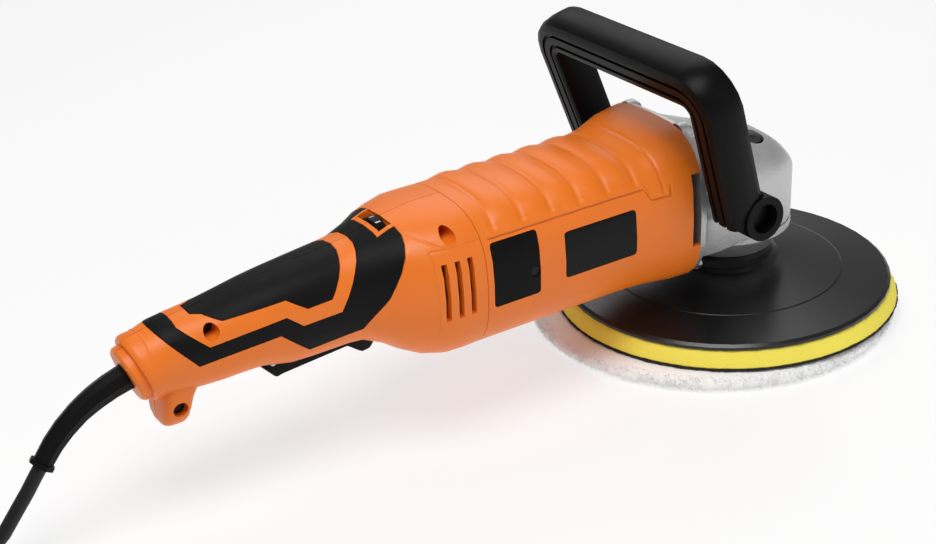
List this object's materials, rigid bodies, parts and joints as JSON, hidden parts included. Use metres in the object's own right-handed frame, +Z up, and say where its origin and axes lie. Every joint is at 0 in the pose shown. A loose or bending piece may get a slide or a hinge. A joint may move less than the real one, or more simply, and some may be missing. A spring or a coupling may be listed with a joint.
{
  "type": "rotary polisher",
  "caption": "hand-held rotary polisher with an in-line motor body, a slim rear grip, a leaning D-shaped front handle and a wide buffing pad under a right-angle gear head",
  "frame": {"origin": "on the spindle axis, on the work face of the wool pad", "axes": "+X forward from the rear grip to the gear head, +Y to the user's left, +Z up along the spindle"},
  "size_m": [0.6428, 0.2498, 0.1662],
  "materials": {
    "orange_plastic": "satin orange moulding",
    "overmould_rubber": "matte black overmould",
    "black_plastic": "satin black moulding",
    "cord_rubber": "matte black sheath",
    "cast_alloy": "blasted casting",
    "steel": "machined",
    "laminated_iron": "stacked sheet",
    "copper_brass": "machined",
    "carbon": "pressed carbon",
    "foam": "open-cell foam",
    "hook_fabric": "hook-and-loop fabric",
    "wool": "white sheared wool"
  },
  "bodies": {
    "machine": {"bearing_retainer": "cast_alloy", "brush_cover_left": "black_plastic", "brush_cover_right": "black_plastic", "brush_cover_screw_left": "steel", "brush_cover_screw_right": "steel", "brush_holder_left": "copper_brass", "brush_holder_right": "copper_brass", "carbon_brush_left": "carbon", "carbon_brush_right": "carbon", "cord_boot": "overmould_rubber", "cord_tie": "overmould_rubber", "d_handle_bolt_left": "steel", "d_handle_bolt_right": "steel", "front_armature_bearing": "steel", "gear_case": "cast_alloy", "gear_case_screw_1": "steel", "gear_case_screw_2": "steel", "gear_case_screw_3": "steel", "gear_case_screw_4": "steel", "grip_band_left": "overmould_rubber", "grip_band_right": "overmould_rubber", "handle_screw_1": "steel", "handle_screw_2": "steel", "handle_screw_3": "steel", "lower_spindle_bearing": "steel", "mains_plug": "black_plastic", "motor_housing": "orange_plastic", "palm_grip_left": "overmould_rubber", "palm_grip_right": "overmould_rubber", "power_cord": "cord_rubber", "power_cord_coil": "cord_rubber", "rating_plate": "black_plastic", "rear_armature_bearing": "steel", "rear_handle_left": "orange_plastic", "rear_handle_right": "orange_plastic", "speed_control_module": "black_plastic", "stator": "laminated_iron", "switch_body": "black_plastic", "trigger_pin": "steel", "upper_spindle_bush": "copper_brass"},
    "armature": {"armature_shaft": "steel", "armature_core": "laminated_iron", "commutator": "copper_brass", "cooling_fan": "black_plastic", "pinion_gear": "steel"},
    "spindle_unit": {"spindle": "steel", "crown_gear": "steel", "backing_plate": "black_plastic", "foam_layer": "foam", "hook_layer": "hook_fabric", "wool_pad": "wool"},
    "d_handle_unit": {"d_handle": "black_plastic"},
    "trigger_unit": {"trigger": "black_plastic"},
    "speed_dial_unit": {"speed_dial": "black_plastic"},
    "spindle_lock_unit": {"spindle_lock_button": "black_plastic"}
  },
  "joints": [
    {"name": "spindle_spin", "type": "hinge", "parent": "machine", "child": "spindle_unit", "pos_m": [0, 0, 0], "axis": [0, 0, 1], "continuous": true},
    {"name": "armature_spin", "type": "hinge", "parent": "machine", "child": "armature", "pos_m": [-0.1, 0, 0.08], "axis": [1, 0, 0], "continuous": true},
    {"name": "d_handle_tilt", "type": "hinge", "parent": "machine", "child": "d_handle_unit", "pos_m": [-0.0315, 0, 0.0825], "axis": [0, -1, 0], "range_deg": [-25, 20]},
    {"name": "trigger_pull", "type": "hinge", "parent": "machine", "child": "trigger_unit", "pos_m": [-0.271, 0, 0.0625], "axis": [0, -1, 0], "range_deg": [0, 5], "stiffness_Nm_per_rad": 0.5, "springref_deg": -5.73},
    {"name": "speed_dial_turn", "type": "hinge", "parent": "machine", "child": "speed_dial_unit", "pos_m": [-0.2088, 0, 0.101], "axis": [1, 0, 0], "range_deg": [0, 270]},
    {"name": "spindle_lock_press", "type": "slide", "parent": "machine", "child": "spindle_lock_unit", "axis": [0, 0, -1], "range_m": [0, 0.0035], "stiffness_N_per_m": 600, "springref_m": -0.002}
  ],
  "couplings": [
    {"joint": "armature_spin", "follows": "spindle_spin", "ratio": -3.8571}
  ]
}
